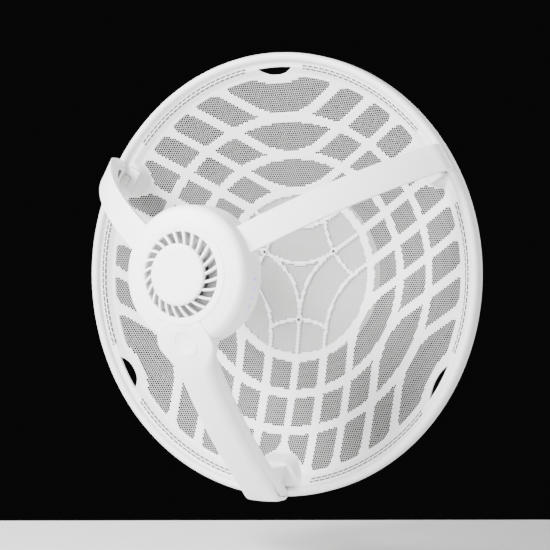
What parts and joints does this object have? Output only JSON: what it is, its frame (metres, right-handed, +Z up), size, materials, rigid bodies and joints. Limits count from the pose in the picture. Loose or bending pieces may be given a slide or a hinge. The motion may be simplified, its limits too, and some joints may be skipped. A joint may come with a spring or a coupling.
{
  "type": "outdoor wireless bridge",
  "caption": "Point-to-point outdoor radio at the focus of a perforated dish, with a slide-off cable cover and a pole mount that tilts and swings.",
  "frame": {"origin": "centre of the pole clamp, on the pole's axis", "axes": "+Z up the pole, -Y the way the dish faces, +X to the viewer's right when facing the dish"},
  "size_m": [0.4, 0.364, 0.403],
  "materials": {
    "white_plastic": "fine matte moulded, white",
    "dish_coat": "matte white powder coat",
    "cast_bracket": "light powder coat on cast metal",
    "steel": "zinc plated",
    "sink_metal": "sand cast",
    "board": "solder mask",
    "antenna_ceramic": "laminate",
    "lens_plastic": "smooth",
    "seal_rubber": "matte",
    "led_plastic": "lit blue violet",
    "black_plastic": "moulded"
  },
  "bodies": {
    "pole_mount": {"pole_bracket": "cast_bracket", "swing_bolt": "steel", "swing_nut": "steel", "clamp_bolts": "steel"},
    "jaw": {"clamp_jaw": "cast_bracket", "clamp_washers": "steel", "clamp_nuts": "steel"},
    "swivel": {"swivel_bracket": "cast_bracket", "tilt_bolt": "steel", "tilt_nut": "steel"},
    "dish_head": {"reflector_dish": "dish_coat", "rear_hub_plate": "cast_bracket", "hub_plate_screws": "steel", "arm_left": "white_plastic", "arm_right": "white_plastic", "arm_bottom": "white_plastic", "foot_screws": "steel", "foot_clips": "white_plastic", "radio_front_cover": "white_plastic", "vent_grille": "white_plastic", "heat_sink": "sink_metal", "main_board": "board", "rf_shield": "steel", "antenna_module": "antenna_ceramic", "feed_lens": "lens_plastic", "radio_rear_cover": "white_plastic", "cover_gasket": "seal_rubber", "cover_screws": "steel", "led_light_pipes": "led_plastic", "ethernet_jack": "steel", "reset_switch": "black_plastic", "cable_grommet": "seal_rubber", "ground_screw": "steel", "tilt_lock_bolt": "steel"},
    "cover": {"cable_cover": "white_plastic"},
    "button": {"reset_button": "black_plastic"}
  },
  "joints": [
    {"name": "jaw_slide", "type": "slide", "parent": "pole_mount", "child": "jaw", "axis": [0, 1, 0], "range_m": [0, 0.012]},
    {"name": "azimuth_swing", "type": "hinge", "parent": "pole_mount", "child": "swivel", "pos_m": [0, -0.052, 0], "axis": [0, 0, 1], "range_deg": [-10, 10]},
    {"name": "elevation_tilt", "type": "hinge", "parent": "swivel", "child": "dish_head", "pos_m": [0.073, -0.048, 0], "axis": [1, 0, 0], "range_deg": [-20, 20]},
    {"name": "cover_slide", "type": "hinge", "parent": "dish_head", "child": "cover", "pos_m": [0.073, 0.20514, 0.2616], "axis": [1, 0, 0], "range_deg": [0, 1.16]},
    {"name": "button_press", "type": "slide", "parent": "dish_head", "child": "button", "axis": [0, 0.7735, 0.6338], "range_m": [0, 0.0006], "stiffness_N_per_m": 800}
  ]
}
